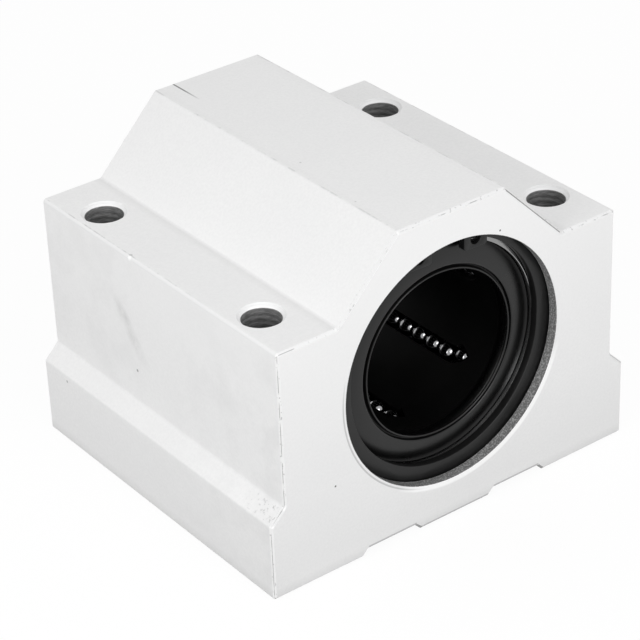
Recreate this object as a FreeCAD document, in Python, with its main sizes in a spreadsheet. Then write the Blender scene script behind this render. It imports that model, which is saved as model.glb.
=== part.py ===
import FreeCAD, Part
import math
import os

import Sketcher

# Linear bearing block: an extruded aluminium housing that holds a steel ball
# bearing between two internal retaining rings.
# Millimetres. X runs across the block, Y along the shaft, Z up from the base.
# The origin is the middle of the underside.

SIZES = [
    # Housing block, seen from its end
    ("block_end_margin", 5),
    ("block_width", 102),
    ("block_height", 78),
    ("bore_height", 40),
    ("flange_step", 3.8),
    ("flange_height", 23),
    ("shoulder_height", 61),
    ("crown_foot_width", 63),
    ("crown_width", 29.6),
    ("recess_depth", 1.5),
    ("recess_slope", 1.5),
    ("middle_foot_width", 19.8),
    ("outer_foot_width", 24.6),
    ("corner_round", 0.8),
    ("hollow_round", 1),
    ("end_bevel", 0.6),
    # Bolt holes, tapped in their upper length
    ("bolt_spacing_across", 80),
    ("bolt_spacing_along", 60),
    ("bolt_hole_diameter", 8.7),
    ("thread_diameter", 10),
    ("thread_depth", 25),
    ("thread_bevel", 0.35),
    ("bolt_exit_bevel", 0.5),
    # Bore of the housing and the grooves for the retaining rings
    ("housing_bore", 60),
    ("ring_groove_depth", 1.5),
    ("ring_groove_play", 0.3),
    ("ring_end_play", 0.3),
    # Retaining rings
    ("ring_thickness", 2),
    ("ring_rim_play", 0.1),
    ("ring_width", 5),
    ("ring_tip_width", 2.8),
    ("ring_gap", 9),
    ("ring_turn", 2),
    ("lug_width", 6.5),
    ("lug_reach", 6.8),
    ("lug_round", 0.7),
    ("lug_hole_diameter", 2.9),
    ("lug_hole_margin", 2.4),
    # Outer sleeve of the bearing
    ("bearing_length", 80),
    ("bearing_play", 0.05),
    ("sleeve_end_bevel", 1),
    ("sleeve_groove_depth", 1.5),
    ("sleeve_groove_width", 2.1),
    ("sleeve_groove_span", 60.5),
    # Balls and the closed tracks in which they run
    ("shaft_diameter", 40),
    ("ball_diameter", 4.76),
    ("ball_play", 0.015),
    ("track_count", 6),
    ("track_turn", 2.5),
    ("track_half_width", 5),
    ("track_side_play", 0.1),
    ("return_lift", 1),
    ("climb_angle", 60),
    ("ball_gap", 0.08),
    ("first_ball", 3.1),
    ("ball_stagger", 0.74),
    # Retainer that guides the balls
    ("retainer_play", 0.3),
    ("retainer_end_wall", 4.12),
    ("retainer_floor", 0.45),
    ("retainer_shaft_gap", 0.5),
    ("slot_width", 4),
    ("slot_shift", 0.32),
    ("slot_turn", 62),
    # End seals
    ("seal_thickness", 3.5),
    ("seal_diameter", 54),
    ("seal_play", 0.05),
    ("seal_face_drop", 0.3),
    ("seal_rim_drop", 1.1),
    ("seal_rim_width", 2.2),
    ("lip_land", 0.6),
    ("lip_width", 0.9),
    ("lip_groove_width", 0.5),
    ("lip_groove_depth", 0.5),
    ("lip_relief", 0.9),
]

# A ball's flat facets: how many round it, and the heights of its rings of corners
FACET_SIDES = 8
FACET_LEVELS = (-67.5, -22.5, 22.5, 67.5)

doc = FreeCAD.newDocument("linear_bearing_block")
sheet = doc.addObject("Spreadsheet::Sheet", "sizes")


class Size:
    """A number together with the expression that binds it to the sheet."""

    def __init__(self, value, text=None):
        self.value = float(value)
        self.text = text if text else repr(value)

    def joined(self, other, sign, value):
        return Size(value, "(%s %s %s)" % (self.text, sign, as_size(other).text))

    def __add__(self, other):
        return self.joined(other, "+", self.value + as_size(other).value)

    def __sub__(self, other):
        return self.joined(other, "-", self.value - as_size(other).value)

    def __mul__(self, other):
        return self.joined(other, "*", self.value * as_size(other).value)

    def __truediv__(self, other):
        return self.joined(other, "/", self.value / as_size(other).value)

    def __neg__(self):
        return Size(-self.value, "(0 - %s)" % self.text)


def as_size(number):
    return number if isinstance(number, Size) else Size(number)


def fill_sheet():
    """Write each size and its alias, and return the sizes by name."""
    named = {}
    for row, (name, value) in enumerate(SIZES, start=1):
        sheet.set("A%d" % row, name)
        sheet.set("B%d" % row, str(value))
        sheet.setAlias("B%d" % row, name)
        named[name] = Size(value, "sizes.%s" % name)
    doc.recompute()
    return named


D = fill_sheet()


def bind(thing, prop, size):
    thing.setExpression(prop, as_size(size).text)


def origin_feature(body, role):
    return next(item for item in body.Origin.OriginFeatures if item.Role == role)


def new_body(name, height=None, turn=None, about="z"):
    """Start a body, raised to the bore axis and turned where it needs that."""
    body = doc.addObject("PartDesign::Body", name)
    body.Label = name
    if turn:
        axis = FreeCAD.Vector(0, 1, 0) if about == "y" else FreeCAD.Vector(0, 0, 1)
        body.Placement = FreeCAD.Placement(
            FreeCAD.Vector(), FreeCAD.Rotation(axis, turn.value))
        if about == "y":
            bind(body, "Placement.Rotation.Angle", turn)
    if height:
        bind(body, "Placement.Base.z", height)
    return body


class Outline:
    """A sketch whose corners, centres and radii are bound to the sheet."""

    def __init__(self, body, name, plane, shift=None):
        self.sketch = body.newObject("Sketcher::SketchObject", name)
        self.sketch.AttachmentSupport = [(origin_feature(body, plane), "")]
        self.sketch.MapMode = "FlatFace"
        for axis, size in (shift or {}).items():
            bind(self.sketch, "AttachmentOffset.Base.%s" % axis, size)

    def rule(self, *facts, size=None):
        index = self.sketch.addConstraint(Sketcher.Constraint(*facts))
        if size is not None:
            bind(self.sketch, "Constraints[%d]" % index, size)

    def pin(self, item, end, kind, size):
        """Hold one coordinate of a point, on an axis where it is nought."""
        size = as_size(size)
        if size.value == 0:
            axis = -2 if kind == "DistanceX" else -1
            self.rule("PointOnObject", item, end, axis)
        else:
            self.rule(kind, -1, 1, item, end, size.value, size=size)

    def circle(self, x, y, diameter):
        x, y, diameter = as_size(x), as_size(y), as_size(diameter)
        centre = FreeCAD.Vector(x.value, y.value, 0)
        item = self.sketch.addGeometry(
            Part.Circle(centre, FreeCAD.Vector(0, 0, 1), diameter.value / 2))
        self.pin(item, 3, "DistanceX", x)
        self.pin(item, 3, "DistanceY", y)
        self.rule("Diameter", item, diameter.value, size=diameter)

    def loop(self, corners, arcs=None):
        """Close a loop of corners. An entry in arcs bends the run that
        leaves that corner about a centre, given by its height on the y axis
        and by the way round: 1 is anticlockwise and -1 is clockwise."""
        arcs = arcs or {}
        corners = [(as_size(x), as_size(y)) for x, y in corners]
        points = [FreeCAD.Vector(x.value, y.value, 0) for x, y in corners]
        runs = []
        for number, start in enumerate(points):
            end = points[(number + 1) % len(points)]
            if number in arcs:
                runs.append(self.bend(start, end, *arcs[number]))
            else:
                runs.append((self.sketch.addGeometry(Part.LineSegment(start, end)), 1, 2))
        for number, (item, _, last) in enumerate(runs):
            following = runs[(number + 1) % len(runs)]
            self.rule("Coincident", item, last, following[0], following[1])
        for (item, first, _), (x, y) in zip(runs, corners):
            self.pin(item, first, "DistanceX", x)
            self.pin(item, first, "DistanceY", y)

    def bend(self, start, end, centre_y, way):
        centre_y = as_size(centre_y)
        centre = FreeCAD.Vector(0, centre_y.value, 0)
        radius = (start - centre).Length
        low, high = (start, end) if way > 0 else (end, start)
        angles = [math.atan2(p.y - centre.y, p.x - centre.x) for p in (low, high)]
        if angles[1] < angles[0]:
            angles[1] += 2 * math.pi
        whole = Part.Circle(centre, FreeCAD.Vector(0, 0, 1), radius)
        item = self.sketch.addGeometry(Part.ArcOfCircle(whole, *angles))
        self.pin(item, 3, "DistanceY", centre_y)
        return (item, 1, 2) if way > 0 else (item, 2, 1)


def feature(body, kind, name, outline, **settings):
    """Add a feature that is made from one sketch."""
    made = body.newObject("PartDesign::%s" % kind, name)
    made.Profile = outline.sketch
    for prop, value in settings.items():
        if isinstance(value, Size):
            bind(made, prop, value)
        else:
            setattr(made, prop, value)
    outline.sketch.Visibility = False
    doc.recompute()
    return made


def turned(body, kind, name, outline):
    """Turn a sketch on the YZ plane once round its own first axis."""
    axis = (outline.sketch, ["H_Axis"])
    return feature(body, kind, name, outline, ReferenceAxis=axis, Angle=360.0)


def ring_pattern(body, name, original):
    """Repeat a feature round the shaft, once for each ball track."""
    pattern = body.newObject("PartDesign::PolarPattern", name)
    pattern.Originals = [original]
    pattern.Axis = (origin_feature(body, "Y_Axis"), [""])
    pattern.Angle = 360.0
    bind(pattern, "Occurrences", D["track_count"])
    body.Tip = pattern
    doc.recompute()
    return pattern


def edges_where(made, test):
    names = []
    for number, edge in enumerate(made.Shape.Edges, start=1):
        if test(edge):
            names.append("Edge%d" % number)
    return names


def dress(body, kind, name, base, names, prop, size):
    """Round or bevel the named edges of a feature."""
    made = body.newObject("PartDesign::%s" % kind, name)
    made.Base = (base, names)
    bind(made, prop, size)
    doc.recompute()
    return made


def near(one, other):
    return abs(one - other) < 0.01


def runs_along_block_at(edge, places):
    """Tell whether an edge runs the block's length at one of the places."""
    box = edge.BoundBox
    if box.XLength > 0.01 or box.ZLength > 0.01:
        return False
    return any(near(abs(box.XMin), x.value) and near(box.ZMin, z.value)
               for x, z in places)


def mirrored(points):
    """Follow points on the +X side with their mirror images, in order."""
    return points + [(-x, y) for x, y in reversed(points)]


def housing_block():
    body = new_body("housing_block")
    half_length = D["bearing_length"] / 2 + D["block_end_margin"]
    half_width = D["block_width"] / 2
    half_upper = half_width - D["flange_step"]
    flange_edge = D["flange_height"] - D["flange_step"]
    half_crown = D["crown_width"] / 2
    half_crown_foot = D["crown_foot_width"] / 2
    half_foot = D["middle_foot_width"] / 2
    recess_end = half_width - D["outer_foot_width"]

    outline = Outline(body, "end_outline", "XZ_Plane")
    outline.loop(mirrored([
        (half_foot, 0),
        (half_foot + D["recess_slope"], D["recess_depth"]),
        (recess_end - D["recess_slope"], D["recess_depth"]),
        (recess_end, 0),
        (half_width, 0),
        (half_width, flange_edge),
        (half_upper, D["flange_height"]),
        (half_upper, D["shoulder_height"]),
        (half_crown_foot, D["shoulder_height"]),
        (half_crown, D["block_height"]),
    ]))
    blank = feature(body, "Pad", "extrusion", outline,
                    Length=half_length * 2, Midplane=True)

    outer = [(half_width, flange_edge), (half_upper, D["shoulder_height"]),
             (half_crown, D["block_height"]), (half_width, Size(0))]
    hollow = [(half_upper, D["flange_height"]), (half_crown_foot, D["shoulder_height"])]
    names = edges_where(blank, lambda edge: runs_along_block_at(edge, outer))
    rounded = dress(body, "Fillet", "outer_corners", blank, names,
                    "Radius", D["corner_round"])
    names = edges_where(rounded, lambda edge: runs_along_block_at(edge, hollow))
    rounded = dress(body, "Fillet", "hollow_corners", rounded, names,
                    "Radius", D["hollow_round"])
    names = edges_where(rounded, lambda edge: near(abs(edge.BoundBox.YMin), half_length.value)
                        and edge.BoundBox.YLength < 0.01)
    dress(body, "Chamfer", "end_bevels", rounded, names, "Size", D["end_bevel"])

    outline = Outline(body, "bore_outline", "XZ_Plane")
    outline.circle(0, D["bore_height"], D["housing_bore"])
    feature(body, "Pocket", "bore", outline,
            Midplane=True, Length=half_length * 4)

    bore_radius = D["housing_bore"] / 2
    seat = D["bearing_length"] / 2 + D["ring_end_play"]
    outline = Outline(body, "ring_groove_outline", "YZ_Plane", {"y": D["bore_height"]})
    for side in (1, -1):
        near_wall = seat * side
        far_wall = (seat + D["ring_thickness"] + D["ring_groove_play"]) * side
        floor = bore_radius + D["ring_groove_depth"]
        inside = bore_radius - D["ring_groove_depth"]
        outline.loop([(near_wall, inside), (far_wall, inside),
                      (far_wall, floor), (near_wall, floor)])
    turned(body, "Groove", "ring_grooves", outline)

    outline = Outline(body, "bolt_places", "XY_Plane", {"z": D["shoulder_height"]})
    for x in (1, -1):
        for y in (1, -1):
            outline.circle(D["bolt_spacing_across"] / 2 * x,
                           D["bolt_spacing_along"] / 2 * y, D["bolt_hole_diameter"])
    holes = feature(body, "Hole", "bolt_holes", outline,
                    DepthType="ThroughAll", HoleCutType="Counterbore",
                    HoleCutCustomValues=True)
    bind(holes, "Diameter", D["bolt_hole_diameter"])
    bind(holes, "HoleCutDiameter", D["thread_diameter"])
    bind(holes, "HoleCutDepth", D["thread_depth"])
    doc.recompute()
    names = edges_where(holes, lambda edge: is_rim(edge, D["thread_diameter"])
                        and near(edge.BoundBox.ZMin, D["shoulder_height"].value))
    mouths = dress(body, "Chamfer", "thread_mouths", holes, names,
                   "Size", D["thread_bevel"])
    names = edges_where(mouths, lambda edge: is_rim(edge, D["bolt_hole_diameter"])
                        and near(edge.BoundBox.ZMin, 0))
    dress(body, "Chamfer", "bolt_exits", mouths, names, "Size", D["bolt_exit_bevel"])
    return body


def is_rim(edge, diameter):
    """Tell whether an edge is a level circle of this diameter."""
    return edge.BoundBox.ZLength < 0.01 and hasattr(edge.Curve, "Radius") \
        and near(edge.Curve.Radius * 2, diameter.value)


def track_half_length():
    """Give half the straight run of a ball track, inside the retainer's ends."""
    turn_room = D["track_half_width"] + D["ball_diameter"] / 2 + D["track_side_play"]
    return D["bearing_length"] / 2 - D["seal_thickness"] - D["retainer_play"] \
        - D["retainer_end_wall"] - turn_room


def bearing_sleeve():
    body = new_body("bearing_sleeve", D["bore_height"], -D["track_turn"], "y")
    end = D["bearing_length"] / 2
    outer = D["housing_bore"] / 2 - D["bearing_play"]
    race = D["shaft_diameter"] / 2 + D["ball_diameter"] + D["ball_play"] * 2
    seat = D["seal_diameter"] / 2
    groove_far = D["sleeve_groove_span"] / 2
    groove_near = groove_far - D["sleeve_groove_width"]
    groove_floor = outer - D["sleeve_groove_depth"]

    half = [
        (end - D["seal_thickness"], race),
        (end - D["seal_thickness"], seat),
        (end, seat),
        (end, outer - D["sleeve_end_bevel"]),
        (end - D["sleeve_end_bevel"], outer),
        (groove_far, outer),
        (groove_far, groove_floor),
        (groove_near, groove_floor),
        (groove_near, outer),
    ]
    outline = Outline(body, "sleeve_outline", "YZ_Plane")
    outline.loop(mirrored(half))
    turned(body, "Revolution", "sleeve_wall", outline)

    depth = D["shaft_diameter"] / 2 + D["ball_diameter"] + D["return_lift"] \
        + D["track_side_play"] + D["ball_play"] * 2
    outline = Outline(body, "return_outline", "XY_Plane")
    channel = D["ball_diameter"] / 2 + D["track_side_play"]
    wide = D["track_half_width"] + channel
    narrow = D["track_half_width"] - channel
    reach = track_half_length()
    outline.loop(
        [(wide, reach), (-wide, reach), (-wide, -reach), (wide, -reach),
         (narrow, -reach), (-narrow, -reach), (-narrow, reach), (narrow, reach)],
        {0: (reach, 1), 2: (-reach, 1), 4: (-reach, -1), 6: (reach, -1)})
    track = feature(body, "Pocket", "return_track", outline,
                    Reversed=True, Length=depth)
    ring_pattern(body, "return_tracks", track)
    return body


def stadium(outline, half_length, radius):
    """Add a slot shape with round ends that runs along the shaft."""
    outline.loop([(radius, half_length), (-radius, half_length),
                  (-radius, -half_length), (radius, -half_length)],
                 {0: (half_length, 1), 2: (-half_length, 1)})


def ball_retainer():
    body = new_body("ball_retainer", D["bore_height"], -D["track_turn"], "y")
    end = D["bearing_length"] / 2 - D["seal_thickness"] - D["retainer_play"]
    inner = D["shaft_diameter"] / 2 + D["retainer_shaft_gap"]
    floor = inner + D["retainer_floor"]
    outer = D["shaft_diameter"] / 2 + D["ball_diameter"] - D["retainer_play"]
    channel = D["ball_diameter"] / 2 + D["track_side_play"]

    outline = Outline(body, "wall_outline", "YZ_Plane")
    outline.loop([(-end, floor), (end, floor), (end, outer), (-end, outer)])
    turned(body, "Revolution", "outer_wall", outline)

    outline = Outline(body, "track_outline", "XY_Plane")
    stadium(outline, track_half_length(), D["track_half_width"] + channel)
    stadium(outline, track_half_length(), D["track_half_width"] - channel)
    track = feature(body, "Pocket", "ball_track", outline,
                    Reversed=True, Length=D["housing_bore"])
    ring_pattern(body, "ball_tracks", track)

    outline = Outline(body, "floor_outline", "YZ_Plane")
    outline.loop([(-end, inner), (end, inner), (end, floor), (-end, floor)])
    turned(body, "Revolution", "track_floor", outline)

    outline = Outline(body, "slot_outline", "XY_Plane")
    half_slot = D["slot_width"] / 2
    left = D["track_half_width"] - D["slot_shift"] - half_slot
    right = D["track_half_width"] - D["slot_shift"] + half_slot
    reach = track_half_length()
    across = Size(math.cos(math.radians(D["slot_turn"].value)), "cos(sizes.slot_turn)")
    along = Size(math.sin(math.radians(D["slot_turn"].value)), "sin(sizes.slot_turn)")
    outline.loop(
        [(right, -reach), (right, reach),
         (right * across, reach + right * along), (left * across, reach + left * along),
         (left, reach), (left, -reach),
         (left * across, -reach - left * along), (right * across, -reach - right * along)],
        {1: (reach, 1), 3: (reach, -1), 5: (-reach, -1), 7: (-reach, 1)})
    slot = feature(body, "Pocket", "ball_slot", outline,
                   Reversed=True, Length=D["housing_bore"])
    ring_pattern(body, "ball_slots", slot)
    return body


def end_seal(name, turn):
    body = new_body(name, D["bore_height"], turn)
    end = D["bearing_length"] / 2
    back = end - D["seal_thickness"]
    face = end - D["seal_face_drop"]
    rim = D["seal_diameter"] / 2 - D["seal_play"]
    lip = D["shaft_diameter"] / 2
    groove = lip + D["lip_width"]

    outline = Outline(body, "seal_outline", "YZ_Plane")
    outline.loop([(-y, r) for y, r in [
        (back, lip + D["lip_relief"]),
        (back, rim),
        (end - D["seal_rim_drop"], rim),
        (face, rim - D["seal_rim_width"]),
        (face, groove + D["lip_groove_width"] * 2),
        (face - D["lip_groove_depth"], groove + D["lip_groove_width"]),
        (face, groove),
        (end, lip + D["lip_width"] / 2),
        (end, lip),
        (end - D["lip_land"], lip),
    ]])
    turned(body, "Revolution", "seal_body", outline)
    return body


def retaining_ring(name, turn, about):
    body = new_body(name, D["bore_height"], turn, about)
    seat = {"z": D["bearing_length"] / 2 + D["ring_end_play"]}
    rim = D["housing_bore"] / 2 + D["ring_groove_depth"] - D["ring_rim_play"]
    half_gap = D["ring_gap"] / 2
    lug_low = D["housing_bore"] / 2 + D["ring_groove_depth"] - D["lug_reach"]
    lug_far = half_gap + D["lug_width"]
    lug_top = rim - D["ring_tip_width"]
    opening = rim - D["ring_width"]

    outline = Outline(body, "ring_outline", "XZ_Plane", seat)
    outline.circle(0, 0, rim * 2)
    outline.circle(0, 0, opening * 2)
    feature(body, "Pad", "ring_blank", outline, Length=D["ring_thickness"])

    outline = Outline(body, "taper_outline", "XZ_Plane", seat)
    outline.circle(0, lug_top - opening, opening * 2)
    feature(body, "Pocket", "ring_taper", outline, Reversed=True,
            Length=D["ring_thickness"])

    outline = Outline(body, "lug_outline", "XZ_Plane", seat)
    for side in (1, -1):
        outline.loop([(half_gap * side, lug_low), (lug_far * side, lug_low),
                      (lug_far * side, lug_top), (half_gap * side, lug_top)])
    lugs = feature(body, "Pad", "lugs", outline, Length=D["ring_thickness"])
    names = edges_where(lugs, lambda edge: is_lug_corner(edge, lug_low, half_gap, lug_far))
    dress(body, "Fillet", "lug_corners", lugs, names, "Radius", D["lug_round"])

    outline = Outline(body, "gap_outline", "XZ_Plane", seat)
    outline.loop([(-half_gap, lug_low), (half_gap, lug_low),
                  (half_gap, rim * 2), (-half_gap, rim * 2)])
    feature(body, "Pocket", "ring_gap_cut", outline, Reversed=True,
            Length=D["ring_thickness"])

    outline = Outline(body, "lug_hole_outline", "XZ_Plane", seat)
    for side in (1, -1):
        outline.circle((half_gap + D["lug_width"] / 2) * side,
                       lug_low + D["lug_hole_margin"], D["lug_hole_diameter"])
    feature(body, "Pocket", "lug_holes", outline, Reversed=True,
            Length=D["ring_thickness"])
    return body


def is_lug_corner(edge, low, near_side, far_side):
    """Tell whether an edge is an inner corner of one of the two lugs."""
    box = edge.BoundBox
    if box.XLength > 0.01 or box.ZLength > 0.01 or not near(box.ZMin, low.value):
        return False
    return near(abs(box.XMin), near_side.value) or near(abs(box.XMin), far_side.value)


def track_length():
    return 4 * track_half_length().value + 2 * math.pi * D["track_half_width"].value


def track_point(distance):
    """Give the centre of a ball that has gone this far round its track.

    It starts in the middle of the return run, which lies on -X, goes to -Y,
    back along the loaded run on +X, and home from +Y. It stands higher by the
    return lift on the return run and eases to that over part of each turn."""
    reach = track_half_length().value
    half_width = D["track_half_width"].value
    loaded = (D["shaft_diameter"].value + D["ball_diameter"].value) / 2 + D["ball_play"].value
    turn = math.pi * half_width
    climb = math.radians(D["climb_angle"].value)
    distance = distance % track_length()
    if distance < reach:
        x, y, rise = -half_width, -distance, 1
    elif distance < reach + turn:
        angle = (distance - reach) / half_width
        x, y = -half_width * math.cos(angle), -reach - half_width * math.sin(angle)
        rise = min(1, (math.pi - angle) / climb)
    elif distance < 3 * reach + turn:
        x, y, rise = half_width, distance - 2 * reach - turn, 0
    elif distance < 3 * reach + 2 * turn:
        angle = (distance - 3 * reach - turn) / half_width
        x, y = half_width * math.cos(angle), reach + half_width * math.sin(angle)
        rise = min(1, angle / climb)
    else:
        x, y, rise = -half_width, 4 * reach + 2 * turn - distance, 1
    radius = loaded + D["return_lift"].value * rise
    return FreeCAD.Vector(x, y, math.sqrt(radius ** 2 - x ** 2))


def ball_centres(start):
    """Follow the track from a start, with equal steps from ball to ball, until
    the next one would come too near the first."""
    step = D["ball_diameter"].value + D["ball_gap"].value
    centres = [track_point(start)]
    distance = start
    while True:
        near_end, far_end = distance, distance + 1.5 * step
        for _ in range(40):
            distance = (near_end + far_end) / 2
            if (track_point(distance) - centres[-1]).Length < step:
                near_end = distance
            else:
                far_end = distance
        if distance > start + track_length() - step:
            return centres
        centres.append(track_point(distance))


def faceted_ball(centre, radius):
    """Make a ball of flat facets, in three bands and two end faces."""
    rings = []
    for level in FACET_LEVELS:
        up = radius * math.sin(math.radians(level))
        out = radius * math.cos(math.radians(level))
        angles = [2 * math.pi * k / FACET_SIDES for k in range(FACET_SIDES)]
        rings.append([centre + FreeCAD.Vector(out * math.cos(a), out * math.sin(a), up)
                      for a in angles])
    faces = [Part.Face(Part.makePolygon(ring + ring[:1])) for ring in (rings[0], rings[-1])]
    for low, high in zip(rings, rings[1:]):
        for k in range(FACET_SIDES):
            n = (k + 1) % FACET_SIDES
            faces.append(Part.Face(Part.makePolygon([low[k], low[n], high[n], high[k], low[k]])))
    ball = Part.Solid(Part.Shell(faces))
    if ball.Volume < 0:
        ball.reverse()
    return ball


def ball_circuit(number):
    """Fill one track with its balls, as separate solids."""
    start = D["first_ball"].value
    if number % 2 == 0:
        start += D["ball_stagger"].value
    balls = [faceted_ball(centre, D["ball_diameter"].value / 2)
             for centre in ball_centres(start)]
    name = "ball_circuit_%d" % number
    made = doc.addObject("Part::Feature", name)
    made.Label = name
    made.Shape = Part.makeCompound(balls)
    angle = 360 / D["track_count"].value * (number - 1) - D["track_turn"].value
    made.Placement = FreeCAD.Placement(
        FreeCAD.Vector(0, 0, D["bore_height"].value),
        FreeCAD.Rotation(FreeCAD.Vector(0, 1, 0), angle))
    return made


HALF_TURN = Size(180)

pieces = [
    housing_block(),
    bearing_sleeve(),
    ball_retainer(),
    end_seal("end_seal_front", None),
    end_seal("end_seal_rear", HALF_TURN),
    retaining_ring("retaining_ring_front", D["ring_turn"], "y"),
    retaining_ring("retaining_ring_rear", HALF_TURN, "z"),
]
for number in range(1, int(D["track_count"].value) + 1):
    pieces.append(ball_circuit(number))

doc.recompute()

for item in doc.Objects:
    if "Invalid" in item.State or "Error" in item.State:
        raise RuntimeError("%s did not recompute" % item.Label)
for piece in pieces:
    if piece.Shape.isNull() or not piece.Shape.isValid():
        raise RuntimeError("%s has no sound shape" % piece.Label)

os.makedirs("parts", exist_ok=True)
for piece in pieces:
    piece.Shape.exportStep(os.path.join("parts", piece.Label + ".step"))
    box = piece.Shape.BoundBox
    print("%-22s solids %3d  volume %10.1f  x %.2f..%.2f  y %.2f..%.2f  z %.2f..%.2f" % (
        piece.Label, len(piece.Shape.Solids), piece.Shape.Volume,
        box.XMin, box.XMax, box.YMin, box.YMax, box.ZMin, box.ZMax))
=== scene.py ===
import math

import bpy
import numpy as np
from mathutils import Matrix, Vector


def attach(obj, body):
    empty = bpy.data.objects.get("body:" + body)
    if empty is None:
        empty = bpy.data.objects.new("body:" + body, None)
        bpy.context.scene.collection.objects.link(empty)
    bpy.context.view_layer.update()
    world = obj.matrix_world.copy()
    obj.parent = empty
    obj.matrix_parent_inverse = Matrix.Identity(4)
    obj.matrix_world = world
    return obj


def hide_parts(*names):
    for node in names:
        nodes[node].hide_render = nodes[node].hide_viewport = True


# Linear bearing block: matt aluminium housing, black seals and retaining rings,
# steel balls in six closed tracks, in the frame of the CAD part. Lengths of the
# object are given in millimetres, and MM turns them into metres. The room, its
# lamps and the camera are in metres.

MM = 0.001

# The block's section and ends: heights from the foot, half widths from the middle
AXIS_HEIGHT = 40.0
BORE_RADIUS = 30.0
SHOULDER = 61.0
CROWN_TOP = 78.0
CROWN_EDGE = 14.8
CROWN_FOOT = 31.5
UPPER_SIDE = 47.2
FLANGE_TOP = 23.0
FLANGE_EDGE = 19.2
BLOCK_END = 45.0
BEVEL_START = 44.4
BOLT_X = 40.0
BOLT_Y = 30.0

# The bearing and its end seals
BEARING_END = 40.0
SEAL_SEAT = 27.0
SHAFT_RADIUS = 20.0
LIP_DEPTH = 0.1
LIP_ROUND = 0.25
GROOVE_START = 20.5
GROOVE_WIDTH = 0.75
GROOVE_DEPTH = 0.8
FACE_START = 21.3
FACE_WIDTH = 5.3
FACE_LEVEL = 0.3
FACE_CURVE = 0.032
FACE_DEPTH = 0.15
SEAL_RIM = 26.9
SEAL_THROAT = 20.9
SEAL_BACK = 3.5

# The tapped holes
THREAD_PITCH = 1.5
THREAD_LENGTH = 25.0
THREAD_MOUTH = 5.35
THREAD_ROOT = 4.55
THREAD_CREST = 4.43
THREAD_BACK = 4.99
THREAD_FLAT = 0.15

# The balls and their tracks
BALL_RADIUS = 2.38
BALL_CUTS = 3
BALL_STEP = 4.84
BALL_ORBIT = 22.395
TRACK_SPACING = 60
TRACK_TURN = 2.5
TRACK_HALF_WIDTH = 5.0
TRACK_HALF_LENGTH = 24.6
TRACK_START_ODD = 3.1
TRACK_START_EVEN = 3.84
RISE_ANGLE = math.pi / 3
PATH_STEP = 0.01

# Rounds on the edges of the steel pieces
RING_EDGE = 0.16
SLEEVE_EDGE = 0.22

# The photograph's camera and light
LENS = 142.457
SENSOR_WIDTH = 36.0
CAMERA_PLACE = (-0.300657, -0.404939, 0.333164)
CAMERA_TURN = (59.0058, 2.0189, -37.5571)
WORLD_LEVEL = 0.715
LAMP_SIZE = 0.28
LAMP_AIM = (0, 0, 0.04)
FLOOR_HALF = 3.0
FLOOR_TONE = 0.45
FLOOR_TONE_SEEN = 0.98
FLOOR_PLAIN_SHARE = 0.93

# Sockets of a Mix node that is set to colours
MIX_ONE, MIX_OTHER, MIX_RESULT = 6, 7, 2

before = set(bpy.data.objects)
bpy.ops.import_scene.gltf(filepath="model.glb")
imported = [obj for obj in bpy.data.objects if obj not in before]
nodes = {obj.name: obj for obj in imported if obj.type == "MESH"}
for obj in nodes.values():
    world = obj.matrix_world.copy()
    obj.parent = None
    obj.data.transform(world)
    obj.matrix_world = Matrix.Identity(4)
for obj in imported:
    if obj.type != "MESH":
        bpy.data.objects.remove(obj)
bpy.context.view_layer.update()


# Surfaces

def mesh_piece(name, points, faces):
    """Make a smooth mesh object from an (n, 3) array in millimetres and faces."""
    mesh = bpy.data.meshes.new(name)
    mesh.from_pydata((points * MM).tolist(), [], faces.tolist())
    mesh.polygons.foreach_set("use_smooth", [True] * len(faces))
    mesh.update()
    piece = bpy.data.objects.new(name, mesh)
    bpy.context.scene.collection.objects.link(piece)
    return piece


def grid_faces(rows, columns, wrap_rows=False, wrap_columns=False):
    """Quads of a rows by columns grid, as indices into its flattened points."""
    i = np.arange(rows if wrap_rows else rows - 1)[:, None]
    j = np.arange(columns if wrap_columns else columns - 1)[None, :]
    next_i, next_j = (i + 1) % rows, (j + 1) % columns
    corners = [i * columns + j, i * columns + next_j,
               next_i * columns + next_j, next_i * columns + j]
    return np.stack(corners, axis=-1).reshape(-1, 4)


def turned_about_shaft(name, radius, along, steps=180):
    """Closed ring: a profile of radius and length carried round the shaft axis,
    with x = radius cos t, z = axis height + radius sin t and y = along."""
    t = np.linspace(0, 2 * math.pi, steps, endpoint=False)[:, None]
    radius, along = radius[None, :], along[None, :]
    points = np.stack([radius * np.cos(t), along + 0 * t,
                       AXIS_HEIGHT + radius * np.sin(t)], axis=-1)
    faces = grid_faces(steps, radius.shape[1], wrap_rows=True, wrap_columns=True)
    return mesh_piece(name, points.reshape(-1, 3), faces)


# Seals

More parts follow.
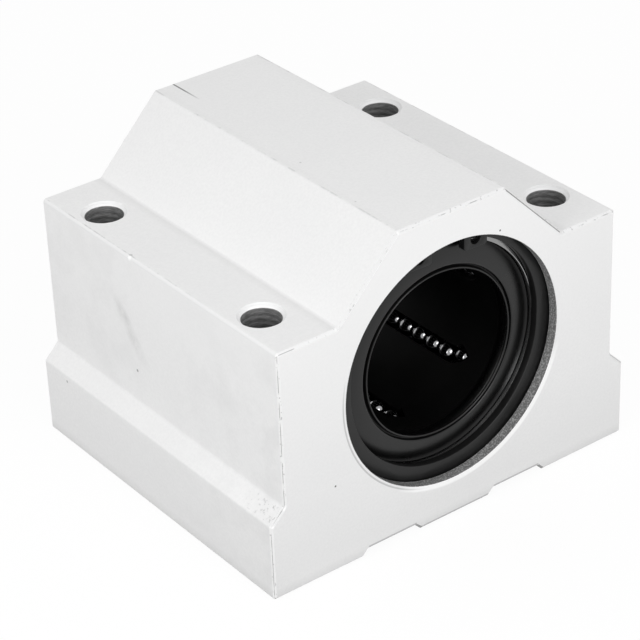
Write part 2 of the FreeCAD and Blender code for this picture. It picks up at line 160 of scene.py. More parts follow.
def seal_profile():
    """Half section of an end seal: radius, and depth behind the bearing's end.

    The lip is half a circle of radius 0.25. The groove beside it is half a sine
    wave 0.8 deep, from radius 20.5 to 21.25. The face is level at first, and
    from radius 21.6 its depth grows as the square of the distance, so that it
    ends in a steep shoulder. The rim, the flat back and the throat close it."""
    lip = np.linspace(math.pi, 0, 9)
    groove = np.linspace(0, 1, 9)[1:]
    face = FACE_WIDTH * np.linspace(0, 1, 25)[1:]
    lip_foot = LIP_DEPTH + LIP_ROUND
    radius = [SHAFT_RADIUS + LIP_ROUND * (1 + np.cos(lip)),
              GROOVE_START + GROOVE_WIDTH * groove,
              FACE_START + face,
              [SEAL_RIM - 0.05, SEAL_RIM, SEAL_RIM, SEAL_THROAT, SEAL_THROAT, SHAFT_RADIUS]]
    depth = [lip_foot - LIP_ROUND * np.sin(lip),
             lip_foot + GROOVE_DEPTH * np.sin(math.pi * groove) - (LIP_ROUND - FACE_DEPTH) * groove,
             LIP_DEPTH + FACE_DEPTH + FACE_CURVE * np.clip(face - FACE_LEVEL, 0, None) ** 2,
             [LIP_DEPTH + 1.1, LIP_DEPTH + 1.3, SEAL_BACK, SEAL_BACK, 1.4, 0.9]]
    return np.concatenate(radius), np.concatenate(depth)


def end_seal(name, node, side):
    """Seal turned from its profile; side is -1 at the front and 1 at the rear."""
    radius, depth = seal_profile()
    along = side * (BEARING_END - depth)
    if side < 0:
        radius, along = radius[::-1], along[::-1]
    piece = turned_about_shaft(name, radius, along)
    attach(piece, "root")
    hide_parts(node)
    return piece


# Threads

def thread(name, x, y):
    """Thread of a tapped hole, as one closed sleeve round its axis.

    A 45 degree lead-in cone runs down to the crest radius. Below it the inner
    radius is a V wave with flats, whose phase is depth / pitch plus the angle
    in turns, and which grows to its full height over the first turn. It is
    0.12 high, much less than a full thread, to give the faint lines that the
    photograph shows."""
    columns, rows = 72, int(THREAD_LENGTH / THREAD_PITCH * 10)
    top, foot = THREAD_MOUTH - THREAD_BACK + 0.02, THREAD_LENGTH - 0.02
    t = np.linspace(0, 2 * math.pi, columns, endpoint=False)[None, :]
    depth = np.linspace(top, foot, rows)[:, None]
    first_turn = THREAD_MOUTH - THREAD_CREST + 0.15
    wave = np.abs(((depth / THREAD_PITCH + t / (2 * math.pi)) % 1) * 2 - 1)
    flank = np.clip((wave - THREAD_FLAT) / (1 - 2 * THREAD_FLAT), 0, 1)
    growth = np.clip((depth - first_turn) / THREAD_PITCH, 0, 1)
    height = (THREAD_ROOT - THREAD_CREST) * flank * growth
    inner = np.maximum(THREAD_CREST + height, THREAD_MOUTH - depth)
    z = SHOULDER - depth + 0 * t
    wall = np.stack([inner * np.cos(t), inner * np.sin(t), z], axis=-1)
    ends = z[[-1, 0]]
    outer = np.stack([THREAD_BACK * np.cos(t) + 0 * ends,
                      THREAD_BACK * np.sin(t) + 0 * ends, ends], axis=-1)
    points = np.concatenate([wall, outer]).reshape(-1, 3)
    points += np.array([x, y, 0])
    faces = grid_faces(rows + 2, columns, wrap_rows=True, wrap_columns=True)
    piece = mesh_piece(name, points, faces)
    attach(piece, "root")
    return piece


# Balls

def track_point(distance):
    """Centres at distances round one track, about a level shaft axis.

    From the middle of the return run: a straight run, a half turn, the loaded
    run, a half turn and home. The height is sqrt(R^2 - x^2), where R is 1 mm
    more on the return run, reached over 60 degrees of a turn."""
    reach, width = TRACK_HALF_LENGTH, TRACK_HALF_WIDTH
    turn = math.pi * width
    distance = np.mod(distance, 4 * reach + 2 * turn)
    legs = np.cumsum([reach, turn, 2 * reach, turn])
    first = np.clip(distance, 0, legs[0])
    entering = np.clip(distance - legs[0], 0, turn) / width
    loaded = np.clip(distance - legs[1], 0, 2 * reach)
    leaving = np.clip(distance - legs[2], 0, turn) / width
    last = np.clip(distance - legs[3], 0, reach)
    x = -width * np.cos(entering + leaving)
    y = loaded - first - last + width * (np.sin(leaving) - np.sin(entering))
    sinking = np.clip((math.pi - entering) / RISE_ANGLE, 0, 1)
    rising = np.clip(leaving / RISE_ANGLE, 0, 1)
    radius = BALL_ORBIT + sinking + rising
    return np.stack([x, y, np.sqrt(radius ** 2 - x ** 2)], axis=-1)


def track_centres(start):
    """Balls that follow each other one step apart, measured straight from
    centre to centre along a finely divided track."""
    length = 4 * TRACK_HALF_LENGTH + 2 * math.pi * TRACK_HALF_WIDTH
    path = track_point(start + np.arange(0, length - BALL_STEP, PATH_STEP))
    chosen = [0]
    while True:
        gap = np.linalg.norm(path[chosen[-1]:] - path[chosen[-1]], axis=1)
        ahead = np.flatnonzero(gap >= BALL_STEP)
        if len(ahead) == 0:
            return path[chosen]
        chosen.append(chosen[-1] + int(ahead[0]))


def round_cube(cuts):
    """Ball of unit radius: each side of a cube cut into squares, all points
    pushed out to the sphere along their own direction."""
    line = np.tan(np.linspace(-math.pi / 4, math.pi / 4, cuts + 1))
    u, v = np.meshgrid(line, line, indexing="ij")
    one = np.ones_like(u)
    sides = [(u, v, one), (v, u, -one), (one, u, v), (-one, v, u), (v, one, u), (u, -one, v)]
    points = np.concatenate([np.stack(side, axis=-1).reshape(-1, 3) for side in sides])
    points /= np.linalg.norm(points, axis=1)[:, None]
    square = grid_faces(cuts + 1, cuts + 1)[:, ::-1]
    faces = np.concatenate([square + k * (cuts + 1) ** 2 for k in range(len(sides))])
    keys = np.round(points, 6)
    _, first, back = np.unique(keys, axis=0, return_index=True, return_inverse=True)
    return points[first], back.reshape(-1)[faces]


def ball_track(number):
    """All balls of one track as one piece, turned to its place round the shaft."""
    ball, ball_faces = round_cube(BALL_CUTS)
    centres = track_centres(TRACK_START_EVEN if number % 2 == 0 else TRACK_START_ODD)
    points = (centres[:, None, :] + ball[None, :, :] * BALL_RADIUS).reshape(-1, 3)
    first_point = (np.arange(len(centres)) * len(ball))[:, None, None]
    faces = (ball_faces[None, :, :] + first_point).reshape(-1, 4)
    angle = math.radians(TRACK_SPACING * (number - 1) - TRACK_TURN)
    c, s = math.cos(angle), math.sin(angle)
    x, y, z = points.T
    points = np.stack([x * c + z * s, y, z * c - x * s + AXIS_HEIGHT], axis=-1)
    piece = mesh_piece("balls_of_track_%d" % number, points, faces)
    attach(piece, "root")
    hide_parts("ball_circuit_%d" % number)
    return piece


# Edges of the steel pieces

def merged_copy(name, node):
    """New piece from a node's mesh, with its doubled points joined and its
    flat faces whole."""
    mesh = nodes[node].data.copy()
    mesh.name = name
    piece = bpy.data.objects.new(name, mesh)
    bpy.context.scene.collection.objects.link(piece)
    bpy.context.view_layer.objects.active = piece
    bpy.ops.object.select_all(action="DESELECT")
    piece.select_set(True)
    bpy.ops.object.mode_set(mode="EDIT")
    bpy.ops.mesh.select_all(action="SELECT")
    bpy.ops.mesh.remove_doubles(threshold=1e-6)
    bpy.ops.mesh.dissolve_limited(angle_limit=math.radians(0.5))
    bpy.ops.object.mode_set(mode="OBJECT")
    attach(piece, "root")
    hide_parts(node)
    return piece


def soften(piece, width, limit):
    """Round a piece's edges over a width: those past 40 degrees, or those with
    a weight."""
    edges = piece.modifiers.new("edges", "BEVEL")
    edges.width = width * MM
    edges.segments = 2
    edges.limit_method = limit
    edges.angle_limit = math.radians(40)


def retaining_ring(name, node):
    """The stamped ring with its edges taken off."""
    piece = merged_copy(name, node)
    soften(piece, RING_EDGE, "ANGLE")
    piece.data.polygons.foreach_set("use_smooth", [True] * len(piece.data.polygons))
    return piece


def sleeve():
    """The bearing's sleeve, with the inner edge of both its end faces rounded."""
    piece = merged_copy("steel_sleeve", "bearing_sleeve")
    mesh = piece.data
    place = np.zeros(len(mesh.vertices) * 3)
    mesh.vertices.foreach_get("co", place)
    x, y, z = place.reshape(-1, 3).T / MM
    at_end = np.abs(np.abs(y) - BEARING_END) < 0.01
    at_seat = np.abs(np.hypot(x, z - AXIS_HEIGHT) - SEAL_SEAT) < 0.05
    pairs = np.zeros(len(mesh.edges) * 2, dtype=np.int32)
    mesh.edges.foreach_get("vertices", pairs)
    on_edge = (at_end & at_seat)[pairs.reshape(-1, 2)].all(axis=1)
    weight = mesh.attributes.new("bevel_weight_edge", "FLOAT", "EDGE")
    weight.data.foreach_set("value", on_edge.astype(np.float32))
    soften(piece, SLEEVE_EDGE, "WEIGHT")
    return piece


# Materials

def grey(level):
    """Neutral colour of a level."""
    return (level, level, level)


class Finish:
    """A node material, made by short calls that add nodes and join their sockets.

    A mask is a socket that runs from 0 to 1 over the piece."""

    def __init__(self, name, colour, roughness, metallic=0.0, specular=0.5):
        self.material = bpy.data.materials.new(name)
        self.material.use_nodes = True
        self.tree = self.material.node_tree
        self.shader = self.tree.nodes["Principled BSDF"]
        self.set("Base Color", (*colour, 1))
        self.set("Roughness", roughness)
        self.set("Metallic", metallic)
        self.set("Specular IOR Level", specular)
        self.place = self.tree.nodes.new("ShaderNodeTexCoord").outputs["Object"]

    def join(self, socket, value):
        """Feed an input from another node's output, or with a plain value."""
        if isinstance(value, bpy.types.NodeSocket):
            self.tree.links.new(value, socket)
        else:
            socket.default_value = value

    def set(self, socket, value):
        """Feed one input of the shader."""
        self.join(self.shader.inputs[socket], value)

    def node(self, kind, **inputs):
        """Add a node and feed its inputs, named with _ for a space."""
        made = self.tree.nodes.new("ShaderNode" + kind)
        for name, value in inputs.items():
            self.join(made.inputs[name.replace("_", " ")], value)
        return made

    def maths(self, operation, *values):
        """Result of one operation on sockets or numbers."""
        made = self.tree.nodes.new("ShaderNodeMath")
        made.operation = operation
        for socket, value in zip(made.inputs, values):
            self.join(socket, value)
        return made.outputs[0]

    def product(self, *values):
        """Product of two or more masks, lengths or numbers."""
        result = values[0]
        for value in values[1:]:
            result = self.maths("MULTIPLY", result, value)
        return result

    def without(self, mask):
        """Everything outside a mask."""
        return self.maths("SUBTRACT", 1.0, mask)

    def stretched(self, scale):
        """Object coordinates times a scale for each axis."""
        return self.node("Mapping", Vector=self.place, Scale=scale).outputs[0]

    def noise(self, scale, detail, vector=None, roughness=0.5):
        """Noise over the piece, or over stretched coordinates."""
        made = self.node("TexNoise", Vector=vector or self.place, Scale=scale,
                         Detail=detail, Roughness=roughness)
        return made.outputs["Fac"]

    def between(self, value, low, high, at_low=0.0, at_high=1.0):
        """Map low..high of a value to at_low..at_high, held at the ends."""
        made = self.node("MapRange", Value=value, From_Min=low, From_Max=high,
                         To_Min=at_low, To_Max=at_high)
        return made.outputs[0]

    def ramp(self, length, start, end, at_start=0.0, at_end=1.0):
        """The same for a length of the piece, from start to end in millimetres."""
        return self.between(length, start * MM, end * MM, at_start, at_end)

    def within(self, length, low, high, soft=0.05):
        """1 where a length lies between two values in millimetres, with soft sides."""
        above = self.ramp(length, low - soft, low)
        below = self.ramp(length, high, high + soft, 1.0, 0.0)
        return self.product(above, below)

    def spot(self, place, radius):
        """1 near a point in millimetres, fading out between half the radius and
        the whole."""
        gap = self.tree.nodes.new("ShaderNodeVectorMath")
        gap.operation = "DISTANCE"
        self.join(gap.inputs[0], self.place)
        self.join(gap.inputs[1], [length * MM for length in place])
        return self.ramp(gap.outputs["Value"], radius * 0.5, radius, 1.0, 0.0)

    def blend(self, factor, one, other):
        """Colour that runs from one at factor 0 to the other at factor 1."""
        made = self.tree.nodes.new("ShaderNodeMix")
        made.data_type = "RGBA"
        self.join(made.inputs["Factor"], factor)
        for index, colour in ((MIX_ONE, one), (MIX_OTHER, other)):
            plain = isinstance(colour, tuple)
            self.join(made.inputs[index], (*colour, 1) if plain else colour)
        return made.outputs[MIX_RESULT]

    def tint(self, colour, mask, level, amount=1.0):
        """A colour with a grey laid over it inside a mask, at a share of its
        full strength."""
        return self.blend(self.product(mask, amount), colour, grey(level))

    def relief(self, height, depth, strength):
        """Fine bumps with a depth in millimetres."""
        bump = self.node("Bump", Height=height, Strength=strength, Distance=depth * MM)
        self.set("Normal", bump.outputs[0])


class BlockFinishAndPaintedLight(Finish):
    """Matt blasted aluminium, with what turning, sawing and handling left on it,
    and with painted light and shade laid into its colour.

    Each method after blasted lays one kind of mark, or of painted light or shade,
    over a colour and gives the new colour. The front of the block is at -Y and its left side at -X."""

    def __init__(self):
        super().__init__("blasted_aluminium", grey(0.8), 0.6, metallic=0.2, specular=0.3)
        self.x, self.y, self.z = self.node("SeparateXYZ", Vector=self.place).outputs
        self.side = self.maths("ABSOLUTE", self.x)
        self.end = self.maths("ABSOLUTE", self.y)
        self.up = self.maths("SUBTRACT", self.z, AXIS_HEIGHT * MM)
        squares = self.maths("ADD", self.product(self.x, self.x), self.product(self.up, self.up))
        self.from_axis = self.maths("SQRT", squares)
        self.grain = self.noise(1600, 3.0)
        self.blotch = self.noise(110, 5.0, roughness=0.65)
        self.torn = self.noise(260, 4.0, roughness=0.6)
        self.burr = self.noise(1300, 3.0)
        self.off_ends = self.ramp(self.end, BEVEL_START, BEVEL_START - 0.1)
        self.in_bore = self.ramp(self.from_axis, BORE_RADIUS + 0.03, BORE_RADIUS + 0.05, 1.0, 0.0)

    def blasted(self):
        """Fine grain under faint wide clouds."""
        grains = self.between(self.grain, 0.3, 0.7)
        clouds = self.between(self.noise(38, 4.0), 0.35, 0.75, 0.0, 0.3)
        colour = self.blend(grains, grey(0.82), (0.86, 0.86, 0.858))
        return self.blend(clouds, colour, (0.79, 0.79, 0.795))

    def painted_face_light(self, colour):
        """Painted light and shade on the upright faces: a little paler towards the
        top and darker towards the foot, most of all at the front. The flange's slope isn't darkened."""
        upright = self.maths("MAXIMUM", self.ramp(self.side, UPPER_SIDE - 0.4, UPPER_SIDE - 0.1),
                             self.ramp(self.end, BLOCK_END - 0.1, BLOCK_END - 0.03))
        slope = self.product(self.ramp(self.side, UPPER_SIDE + 0.1, UPPER_SIDE + 0.3),
                             self.within(self.z, FLANGE_EDGE, FLANGE_TOP))
        # Painted light towards the top, painted shade towards the foot and the front.
        painted_light_above = self.product(upright, self.ramp(self.z, 25, 70, 0.0, 0.55))
        painted_shade_below = self.product(upright, self.ramp(self.z, FLANGE_TOP, 6, 0.0, 0.17),
                              self.without(slope), self.ramp(self.y, BLOCK_END, -20, 0.3, 1.0))
        colour = self.tint(colour, painted_light_above, 0.93)
        return self.tint(colour, painted_shade_below, 0.6)

    def handled_sides(self, colour):
        """Blotches on both sides, stale patches at the rear of the left side,
        and on it a grey smudge that rises towards the rear."""
        blotched = self.product(self.off_ends, self.ramp(self.side, UPPER_SIDE - 0.6, UPPER_SIDE - 0.3),
                                self.ramp(self.y, 5, -40), self.between(self.blotch, 0.42, 0.7),
                                self.ramp(self.z, 60, 45, 0.35, 1.0))
        left = self.within(self.x, -UPPER_SIDE - 0.8, -UPPER_SIDE + 0.3)
        stale = self.product(left, self.within(self.y, 12, BLOCK_END, 8), self.within(self.z, 24, 60, 3),
                             self.between(self.blotch, 0.42, 0.62))
        slant = self.maths("SUBTRACT", self.z, self.product(self.y, 1.38))
        smudge = self.product(left, self.within(slant, 24.4, 26.4, 3.2), self.within(self.z, 38, 44, 5),
                              self.between(self.torn, 0.40, 0.60, 0.3, 1.0))
        colour = self.tint(colour, blotched, 0.6, 0.28)
        colour = self.tint(colour, stale, 0.6, 0.11)
        return self.tint(colour, smudge, 0.5, 0.42)

    def shaded_corners(self, colour):
        """Shade along the foot, in the hollow corners beside the crown, and a
        trace of it beside the crown's edges."""
        foot = self.ramp(self.z, 0.0, 3, 0.26, 0.0)
        hollow = self.product(self.within(self.side, CROWN_FOOT - 0.2, CROWN_FOOT + 0.7, 1.6),
                              self.within(self.z, SHOULDER - 0.2, SHOULDER + 0.2, 0.2))
        brow = self.product(self.within(self.side, CROWN_EDGE - 1.2, CROWN_EDGE - 0.3, 1.0),
                            self.ramp(self.z, CROWN_TOP - 0.4, CROWN_TOP - 0.3))
        colour = self.tint(colour, foot, 0.42)
        colour = self.tint(colour, hollow, 0.45, 0.13)
        return self.tint(colour, brow, 0.45, 0.03)

    def long_edges(self, colour):
        """A light round on the shoulders' edges, with a thin broken dark line
        inside it and another on the crown's edges, and dark burrs on the front
        of the flange's slope."""
        below_shoulder = self.maths("SUBTRACT", SHOULDER * MM, self.z)
        across = self.maths("ADD", self.side, below_shoulder)
        on_shoulder = self.ramp(self.z, SHOULDER - 0.9, SHOULDER - 0.8)
        light = self.product(on_shoulder, self.within(across, UPPER_SIDE, UPPER_SIDE + 0.9, 0.1))
        dark = self.product(on_shoulder, self.within(across, UPPER_SIDE - 0.7, UPPER_SIDE - 0.45, 0.1),
                            self.within(self.side, 46, 48), self.between(self.torn, 0.46, 0.6),
                            self.ramp(self.y, -25, 10))
        on_crown = self.product(self.within(self.side, CROWN_EDGE - 0.35, CROWN_EDGE - 0.05, 0.1),
                                self.ramp(self.z, CROWN_TOP - 0.3, CROWN_TOP - 0.2),
                                self.between(self.torn, 0.48, 0.6))
        burrs = self.product(self.off_ends, self.within(self.side, 47.4, 50.6),
                             self.within(self.z, 18.5, 22.5), self.ramp(self.y, -33, -42),
                             self.between(self.burr, 0.58, 0.66))
        colour = self.tint(colour, light, 0.83)
        colour = self.tint(colour, dark, 0.4, 0.5)
        colour = self.tint(colour, on_crown, 0.4, 0.35)
        return self.tint(colour, burrs, 0.4, 0.6)

    def end_bevels(self, colour):
        """Bevels round both ends, speckled with saw burrs, with painted shade that makes
        them greyer on the left slopes and dark on the crown's right slope and under
        the foot, and torn dark lines along the top and the sides."""
        on_bevel = self.product(self.ramp(self.from_axis, BORE_RADIUS + 0.5, BORE_RADIUS + 0.6),
                                self.ramp(self.end, BEVEL_START - 0.02, BEVEL_START + 0.02),
                                self.ramp(self.end, BLOCK_END - 0.02, BLOCK_END - 0.01, 1.0, 0.0))
        # Painted shade: the bevels on the left slopes face the light, so they are made greyer.
        flange_slope = self.product(self.ramp(self.x, -UPPER_SIDE - 0.1, -UPPER_SIDE - 0.3),
                                    self.within(self.z, FLANGE_EDGE + 0.2, FLANGE_TOP - 0.2))
        painted_shade_on_slopes = self.maths("MAXIMUM", self.within(self.x, -31.3, -15.0, 0.3), flange_slope)
        bevel = self.blend(painted_shade_on_slopes, grey(0.80), grey(0.69))
        bevel = self.tint(bevel, self.between(self.burr, 0.60, 0.70, 0.0, 0.6), 0.3)

        # Painted shade on the bevel of the crown's right slope.
        painted_shade_right_bevel = self.product(self.within(self.x, 14.9, 31.6), self.within(self.z, 61.2, 77.9),
                                   self.ramp(self.end, BEVEL_START + 0.26, BEVEL_START + 0.36))
        low = self.ramp(self.z, SHOULDER + 0.3, SHOULDER + 0.2)
        clear = self.product(self.within(self.x, -42.8, -31.4, 0.4), low)
        dash = self.product(self.within(self.x, -46.6, -42.8, 0.4), low)
        broken = self.product(self.between(self.torn, 0.53, 0.62), self.without(clear))
        along_top = self.product(self.within(self.end, BEVEL_START + 0.34, BEVEL_START + 0.44, 0.04),
                                 self.ramp(self.z, SHOULDER - 0.6, SHOULDER - 0.4),
                                 self.maths("MAXIMUM", dash, broken))
        along_sides = self.product(self.within(self.end, BEVEL_START + 0.22, BEVEL_START + 0.28, 0.04),
                                   self.ramp(self.z, SHOULDER - 0.4, SHOULDER - 0.6),
                                   self.between(self.torn, 0.38, 0.5))
        # Painted shade on the bevel under the foot.
        painted_shade_under_foot = self.product(self.ramp(self.z, 1.9, 1.8), self.within(self.x, -31, 31, 1.0))
        bevel = self.tint(bevel, painted_shade_right_bevel, 0.08, 0.6)
        bevel = self.tint(bevel, along_top, 0.12, 0.5)
        bevel = self.tint(bevel, along_sides, 0.08, 0.6)
        bevel = self.tint(bevel, painted_shade_under_foot, 0.15, 0.6)
        return self.blend(on_bevel, colour, bevel)

    def knocks_and_painted_light(self, colour):
        """A scratch near the rear of the crown, six small dark or grey dots, and a
        nick in the left shoulder's edge, drawn as a painted highlight with a painted shadow beside it."""
        scratch = self.product(self.within(self.x, -9.78, -9.5, 0.12),
                               self.ramp(self.z, CROWN_TOP - 0.2, CROWN_TOP - 0.1),
                               self.ramp(self.y, 33.5, 40))
        colour = self.tint(colour, scratch, 0.1, 0.85)
        dots = (((-47.2, 9.6, 31.3), 0.45, 0.35), ((-33.5, -45.0, 22.3), 0.3, 0.1),
                ((-50.9, 35.2, 17.6), 0.45, 0.45), ((13.2, -45.0, 68.1), 0.3, 0.1),
                ((-11.2, -6.7, 78.0), 0.32, 0.6), ((-13.3, -28.8, 78.0), 0.3, 0.65))
        for place, radius, level in dots:
            colour = self.tint(colour, self.spot(place, radius), level)
        # The nick: a painted shadow beside it, then a painted highlight on it.
        colour = self.tint(colour, self.spot((-46.5, 9.4, 61.0), 0.5), 0.35, 0.6)
        return self.tint(colour, self.spot((-47.1, 9.2, 60.6), 0.75), 0.98)

    def painted_light_on_bore_rim(self, colour):
        """The bore's edge: a painted highlight at the lower right, with a thin line of
        painted shadow outside it at the lower left."""
        low_right = self.maths("SUBTRACT", self.product(self.x, 0.39), self.product(self.up, 0.92))
        low_left = self.maths("ADD", self.product(self.x, -0.87), self.product(self.up, -0.5))
        # Painted highlight on the rim at the lower right; painted shadow outside it at the lower left.
        bright = self.product(self.ramp(self.from_axis, BORE_RADIUS + 1.1, BORE_RADIUS + 1.6, 1.0, 0.0),
                              self.ramp(low_right, 17.5, 22))
        dark = self.product(self.within(self.from_axis, BORE_RADIUS + 0.55, BORE_RADIUS + 0.85, 0.1),
                            self.ramp(self.end, BEVEL_START - 0.05, BEVEL_START + 0.02),
                            self.ramp(low_left, 22, 27))
        colour = self.tint(colour, bright, 0.98)
        return self.tint(colour, dark, 0.2, 0.4)

    def painted_shade_lines_at_foot(self, colour):
        """Thin lines of painted shade on the end faces, above the recesses of the foot
        and along the foot's middle."""
        recesses = self.product(self.within(self.side, 11.5, 24.8, 0.3),
                                self.within(self.z, 2.0, 2.4, 0.15))
        middle = self.product(self.within(self.x, -9.0, 10.0, 2.0),
                              self.within(self.z, 0.5, 0.85, 0.15))
        lines = self.product(self.maths("MAXIMUM", recesses, middle),
                             self.ramp(self.end, BLOCK_END - 0.1, BLOCK_END - 0.05))
        return self.tint(colour, lines, 0.2, 0.45)

    def turned_and_shaded_bore(self, colour):
        """Turned wall of the bore, dark grey both in its own tone and as painted shade inside the bore,
        with bright speckles.
        """
        turning = self.noise(40, 2.0, self.stretched((1, 160, 1)))
        speckle = self.noise(2600, 2.0)
        wall = self.blend(self.between(turning, 0.35, 0.65), grey(0.16), grey(0.26))
        wall = self.tint(wall, self.between(speckle, 0.5, 0.62), 0.5)
        return self.blend(self.in_bore, colour, wall)


def aluminium():
    """The block's finish, with its painted light and shade, laid in the order of its methods."""
    finish = BlockFinishAndPaintedLight()
    colour = finish.blasted()
    for lay in (finish.painted_face_light, finish.handled_sides, finish.shaded_corners,
                finish.long_edges, finish.end_bevels, finish.knocks_and_painted_light, finish.painted_light_on_bore_rim,
                finish.painted_shade_lines_at_foot, finish.turned_and_shaded_bore):
        colour = lay(colour)
    finish.set("Base Color", colour)
    finish.set("Roughness", finish.between(finish.in_bore, 0.0, 1.0, 0.6, 0.4))
    drawn = finish.noise(60, 3.0, finish.stretched((30, 0.6, 30)))
    height = finish.maths("ADD", finish.product(finish.grain, 0.7), finish.product(drawn, 0.3))
    finish.relief(height, 0.02, 0.4)
    return finish.material


def tapped_aluminium():
    """Cut thread, dark grey as painted shade inside the hole, below a bright
    lead-in cone, with cutting lines round the hole."""
    finish = Finish("tapped_aluminium", grey(0.12), 0.5, metallic=0.3)
    z = finish.node("SeparateXYZ", Vector=finish.place).outputs[2]
    marks = finish.noise(700, 3.0, finish.stretched((1, 1, 6)))
    # Painted shade: the thread's dark grey stands for the shade inside the hole.
    cut = finish.blend(finish.between(marks, 0.35, 0.65), grey(0.16), grey(0.30))
    cone = finish.ramp(z, SHOULDER - 0.90, SHOULDER - 0.86)
    finish.set("Base Color", finish.tint(cut, cone, 0.86))
    finish.relief(marks, 0.02, 0.5)
    return finish.material


def black_moulding(name, colour, roughness, specular):
    """Black moulded plastic or rubber with a fine eggshell skin."""
    finish = Finish(name, colour, roughness, specular=specular)
    skin = finish.noise(2200, 3.0)
    wear = finish.noise(90, 4.0)
    worn = tuple(level * 1.6 + 0.0006 for level in colour)
    finish.set("Base Color", finish.blend(finish.between(wear, 0.45, 0.8, 0.0, 0.6), colour, worn))
    finish.set("Roughness", finish.between(wear, 0.3, 0.7, roughness - 0.04, roughness + 0.05))
    finish.relief(skin, 0.01, 0.4)
    return finish.material


def black_spring_steel():
    """Blackened spring steel, brushed lightly, a little lighter where it is rubbed."""
    finish = Finish("black_spring_steel", grey(0.004), 0.42, specular=0.36)
    rub = finish.noise(140, 4.0)
    skin = finish.noise(1800, 2.0)
    rubbed = finish.between(rub, 0.4, 0.8, 0.0, 0.7)
    finish.set("Base Color", finish.blend(rubbed, grey(0.003), (0.006, 0.006, 0.0062)))
    finish.set("Roughness", finish.between(rub, 0.3, 0.7, 0.36, 0.48))
    finish.relief(skin, 0.01, 0.4)
    return finish.material


def ground_steel():
    """Ground steel of the sleeve, with faint lines round the shaft."""
    finish = Finish("ground_sleeve_steel", grey(0.3), 0.2, metallic=1.0)
    lines = finish.noise(60, 3.0, finish.stretched((1, 90, 1)))
    finish.set("Base Color", finish.blend(finish.between(lines, 0.3, 0.7), grey(0.3), grey(0.24)))
    finish.set("Roughness", finish.between(lines, 0.3, 0.7, 0.2, 0.3))
    finish.relief(lines, 0.01, 0.3)
    return finish.material


def polished_ball_steel():
    """Polished balls under a thin film of oil."""
    finish = Finish("polished_ball_steel", (0.3, 0.3, 0.31), 0.06, metallic=1.0)
    film = finish.noise(500, 2.0)
    finish.set("Roughness", finish.between(film, 0.35, 0.65, 0.04, 0.08))
    finish.set("Base Color", finish.blend(film, (0.28, 0.28, 0.29), grey(0.33)))
    return finish.material


def dress(piece, material):
    """Give a piece one material in place of any it had."""
    piece.data.materials.clear()
    piece.data.materials.append(material)


# The assembly

block_finish_and_painted_light = aluminium()
thread_finish_and_painted_shade = tapped_aluminium()
seal_finish = black_moulding("seal_rubber", grey(0.0025), 0.3, specular=0.4)
retainer_finish = black_moulding("retainer_plastic", grey(0.0015), 0.4, specular=0.12)
ring_finish = black_spring_steel()
sleeve_finish = ground_steel()
ball_finish = polished_ball_steel()

dress(nodes["housing_block"], block_finish_and_painted_light)
dress(sleeve(), sleeve_finish)
dress(nodes["ball_retainer"], retainer_finish)

for number, (x, y) in enumerate([(-1, -1), (1, -1), (-1, 1), (1, 1)], start=1):
    dress(thread("thread_%d" % number, BOLT_X * x, BOLT_Y * y), thread_finish_and_painted_shade)
dress(end_seal("seal_front", "end_seal_front", -1), seal_finish)
dress(end_seal("seal_rear", "end_seal_rear", 1), seal_finish)
dress(retaining_ring("spring_ring_front", "retaining_ring_front"), ring_finish)
dress(retaining_ring("spring_ring_rear", "retaining_ring_rear"), ring_finish)
for number in range(1, 7):
    dress(ball_track(number), ball_finish)


# Floor, light and camera

def plain_to_viewer(tree):
    """1 for rays that come from the camera or off gloss, and 0 for the rest."""
    ray = tree.nodes.new("ShaderNodeLightPath")
    either = tree.nodes.new("ShaderNodeMath")
    either.operation = "MAXIMUM"
    tree.links.new(ray.outputs["Is Camera Ray"], either.inputs[0])
    tree.links.new(ray.outputs["Is Glossy Ray"], either.inputs[1])
    return either.outputs[0]


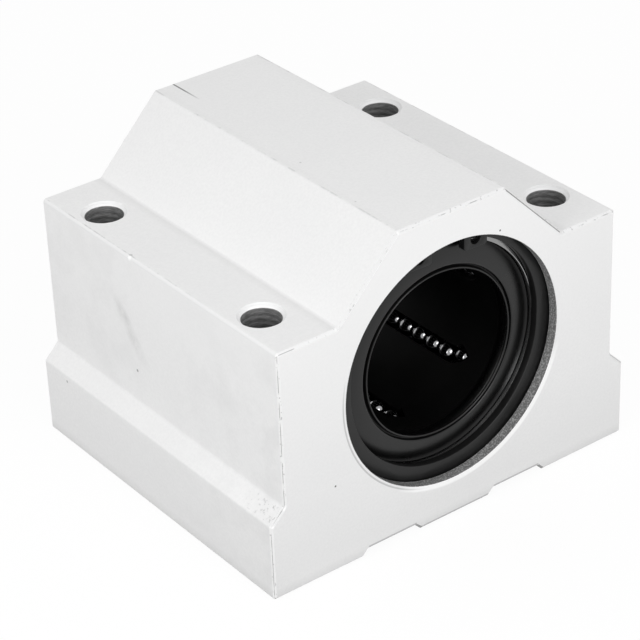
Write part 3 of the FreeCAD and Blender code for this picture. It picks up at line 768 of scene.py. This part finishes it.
def studio_floor():
    """White floor: mostly plain white to the camera and in gloss, so that only
    a faint shadow is left, and a pale grey matt surface to everything else."""
    half = FLOOR_HALF
    mesh = bpy.data.meshes.new("floor")
    mesh.from_pydata([(-half, -half, 0), (half, -half, 0), (half, half, 0), (-half, half, 0)],
                     [], [(0, 1, 2, 3)])
    floor = bpy.data.objects.new("floor", mesh)
    bpy.context.scene.collection.objects.link(floor)
    material = bpy.data.materials.new("floor_white")
    material.use_nodes = True
    tree = material.node_tree
    tree.nodes.clear()
    out = tree.nodes.new("ShaderNodeOutputMaterial")
    matt = tree.nodes.new("ShaderNodeBsdfDiffuse")
    plain = tree.nodes.new("ShaderNodeEmission")
    plain.inputs["Color"].default_value = (1, 1, 1, 1)
    plain.inputs["Strength"].default_value = 1.0
    seen = plain_to_viewer(tree)
    tone = tree.nodes.new("ShaderNodeMapRange")
    tone.inputs["To Min"].default_value = FLOOR_TONE
    tone.inputs["To Max"].default_value = FLOOR_TONE_SEEN
    share = tree.nodes.new("ShaderNodeMath")
    share.operation = "MULTIPLY"
    share.inputs[1].default_value = FLOOR_PLAIN_SHARE
    mix = tree.nodes.new("ShaderNodeMixShader")
    for output, socket in ((seen, tone.inputs["Value"]), (tone.outputs[0], matt.inputs["Color"]),
                           (seen, share.inputs[0]), (share.outputs[0], mix.inputs[0]),
                           (matt.outputs[0], mix.inputs[1]), (plain.outputs[0], mix.inputs[2]),
                           (mix.outputs[0], out.inputs[0])):
        tree.links.new(output, socket)
    mesh.materials.append(material)


def studio_world():
    """Even light, seen as plain white by the camera and in gloss."""
    world = bpy.data.worlds.new("studio")
    bpy.context.scene.world = world
    world.use_nodes = True
    tree = world.node_tree
    back = tree.nodes["Background"]
    back.inputs["Color"].default_value = (1, 1, 1, 1)
    strength = tree.nodes.new("ShaderNodeMapRange")
    strength.inputs["To Min"].default_value = WORLD_LEVEL
    strength.inputs["To Max"].default_value = 1.0
    tree.links.new(plain_to_viewer(tree), strength.inputs["Value"])
    tree.links.new(strength.outputs[0], back.inputs["Strength"])


def lamp(name, place, power):
    """Square soft light at a place, facing the middle of the block."""
    data = bpy.data.lights.new(name, "AREA")
    data.shape = "SQUARE"
    data.size = LAMP_SIZE
    data.energy = power
    made = bpy.data.objects.new(name, data)
    bpy.context.scene.collection.objects.link(made)
    made.location = place
    direction = Vector(LAMP_AIM) - Vector(place)
    made.rotation_euler = direction.to_track_quat("-Z", "Y").to_euler()


def camera():
    """The photograph's view, as solved from the block's corners and edges."""
    data = bpy.data.cameras.new("camera")
    data.sensor_width = SENSOR_WIDTH
    data.lens = LENS
    data.clip_start = 0.01
    made = bpy.data.objects.new("camera", data)
    bpy.context.scene.collection.objects.link(made)
    made.location = CAMERA_PLACE
    made.rotation_euler = [math.radians(angle) for angle in CAMERA_TURN]
    bpy.context.scene.camera = made


studio_floor()
studio_world()
lamp("front_light", (-0.05, -0.55, 0.26), 1.03)
lamp("left_light", (-0.55, -0.22, 0.26), 1.24)
camera()
bpy.context.scene.view_settings.view_transform = "Standard"
